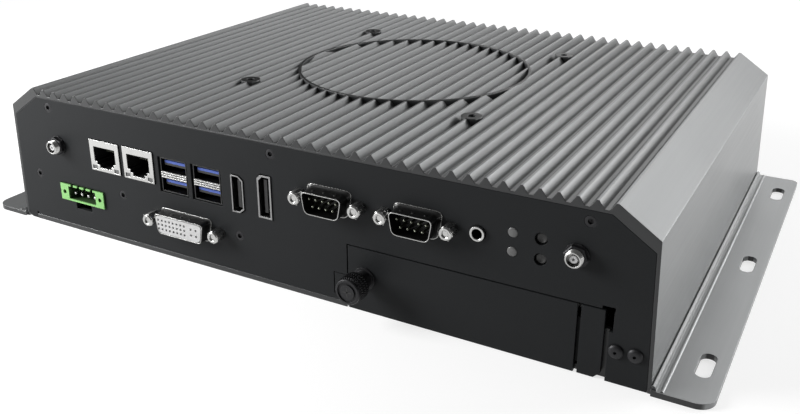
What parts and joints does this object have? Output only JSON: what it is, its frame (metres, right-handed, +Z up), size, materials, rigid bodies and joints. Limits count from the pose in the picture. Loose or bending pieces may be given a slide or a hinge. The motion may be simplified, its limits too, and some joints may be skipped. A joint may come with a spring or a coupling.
{
  "type": "fanless industrial computer",
  "caption": "Low rectangular computer case with a V-finned heat-sink cover, sloping shoulders, an I/O front panel with a drive bay, and slotted mounting flanges along both sides",
  "frame": {"origin": "middle of the underside of the base plate", "axes": "+X across the front to the viewer's right, +Y from the front panel to the back, +Z up"},
  "size_m": [0.32, 0.217, 0.062],
  "materials": {
    "cover_metal": "satin, dark grey anodised",
    "panel_paint": "satin dark grey powder coat",
    "base_paint": "satin grey powder coat",
    "black_screw": "black oxide",
    "plated_steel": "bright zinc or nickel plate",
    "dark_shell": "dark plated shell",
    "black_plastic": "moulded black",
    "blue_plastic": "moulded blue",
    "pale_plastic": "moulded pale grey",
    "green_plastic": "moulded green",
    "gold": "gold flash on contacts",
    "lens": "clear light pipe",
    "board": "green solder mask",
    "pad": "soft thermal pad",
    "bare_alu": "machined"
  },
  "bodies": {
    "housing": {"finned_cover": "cover_metal", "base_plate": "base_paint", "front_panel": "panel_paint", "rear_panel": "panel_paint", "panel_screws": "black_screw", "rear_screws": "black_screw", "foot_screws": "black_screw", "bay_door": "panel_paint", "thumb_screw": "black_screw", "drive_tray": "panel_paint", "drive_cage": "plated_steel", "storage_drive": "bare_alu", "drive_screws": "plated_steel", "power_board": "board", "mainboard": "board", "short_posts": "plated_steel", "board_spacers": "plated_steel", "tall_posts": "plated_steel", "board_screws": "plated_steel", "processor": "plated_steel", "thermal_pad": "pad", "heat_spreader": "bare_alu", "memory_socket": "black_plastic", "memory_module": "board", "cell_holder": "black_plastic", "coin_cell": "plated_steel", "board_link": "black_plastic", "lan_shell_1": "plated_steel", "lan_shell_2": "plated_steel", "lan_insert_1": "black_plastic", "lan_insert_2": "black_plastic", "usb_shell_1": "plated_steel", "usb_shell_2": "plated_steel", "usb_insert_1": "blue_plastic", "usb_insert_2": "blue_plastic", "hdmi_shell": "plated_steel", "hdmi_insert": "black_plastic", "displayport_shell": "plated_steel", "displayport_insert": "black_plastic", "dvi_shell": "dark_shell", "dvi_insert": "pale_plastic", "com_shell_1": "dark_shell", "com_shell_2": "dark_shell", "com_insert_1": "black_plastic", "com_insert_2": "black_plastic", "com_pins_1": "gold", "com_pins_2": "gold", "jack_screws": "plated_steel", "audio_jack": "black_plastic", "terminal_header": "green_plastic", "terminal_pins": "plated_steel", "antenna_jack_1": "plated_steel", "antenna_jack_2": "plated_steel", "antenna_nuts": "black_screw", "antenna_washers": "black_screw", "led_lenses": "lens", "button_switches": "black_plastic", "front_board": "board"},
    "power_button_body": {"power_button": "black_plastic"},
    "reset_button_body": {"reset_button": "black_plastic"}
  },
  "joints": [
    {"name": "power_button_press", "type": "slide", "parent": "housing", "child": "power_button_body", "axis": [0, 1, 0], "range_m": [0, 0.0006], "stiffness_N_per_m": 1000, "springref_m": -0.0005},
    {"name": "reset_button_press", "type": "slide", "parent": "housing", "child": "reset_button_body", "axis": [0, 1, 0], "range_m": [0, 0.0006], "stiffness_N_per_m": 1000, "springref_m": -0.0005}
  ]
}
